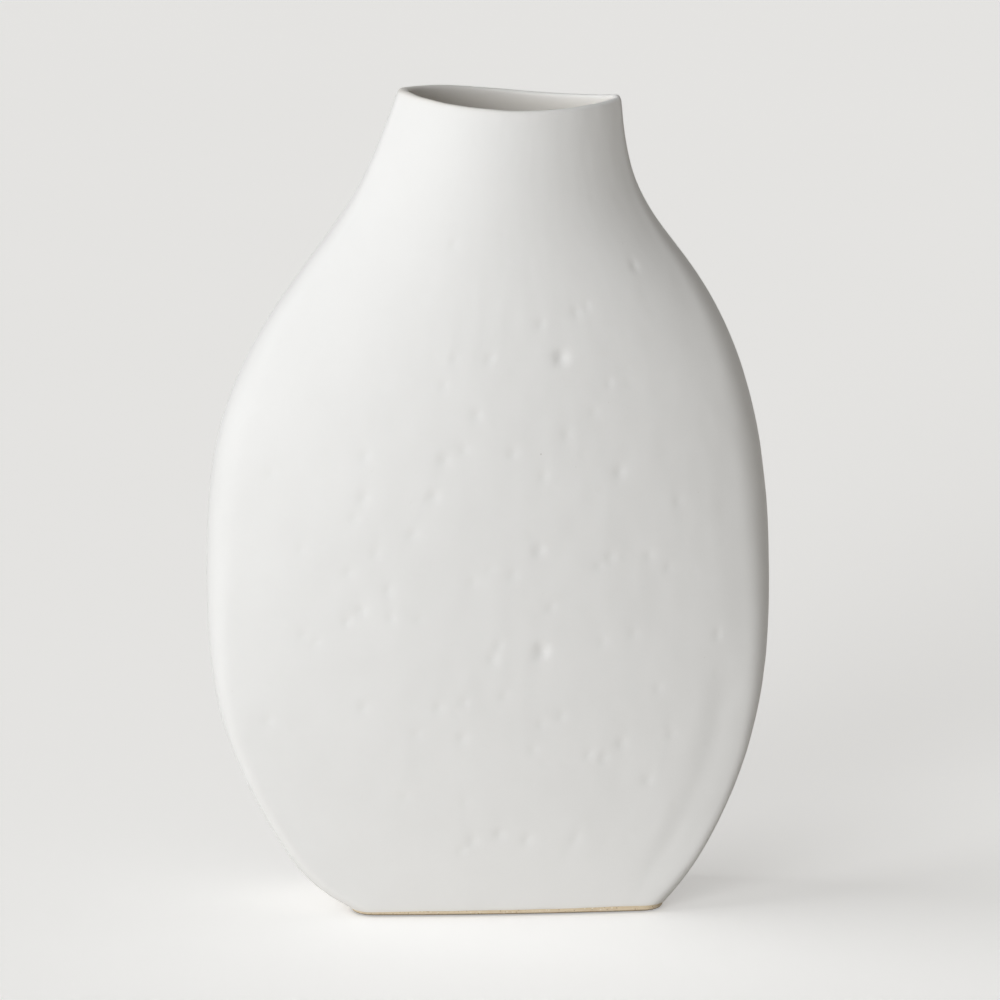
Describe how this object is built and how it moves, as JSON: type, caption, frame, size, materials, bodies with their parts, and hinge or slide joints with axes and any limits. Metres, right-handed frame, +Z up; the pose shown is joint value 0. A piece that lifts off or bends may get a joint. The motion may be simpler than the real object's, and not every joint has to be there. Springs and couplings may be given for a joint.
{
  "type": "pillow vase",
  "caption": "Free-standing pillow vase with two crowned faces, sloping shoulders, a lens-shaped mouth and a bare clay foot, matte white glaze inside and out, for cut or dried stems.",
  "frame": {"origin": "under the middle of the foot, on the surface the vase stands on", "axes": "+Z up, -Y out of the front face, +X to the right of someone who faces the front"},
  "size_m": [0.2305, 0.0846, 0.34],
  "materials": {
    "stoneware": "bare fired clay, fine and sandy",
    "white_glaze": "matte white, lightly dimpled"
  },
  "bodies": {
    "root": {"base_slab": "stoneware", "front_wall": "stoneware", "back_wall": "stoneware", "left_seam_coil": "stoneware", "right_seam_coil": "stoneware", "floor_coil": "stoneware", "outer_glaze": "white_glaze", "liner_glaze": "white_glaze"}
  },
  "joints": []
}
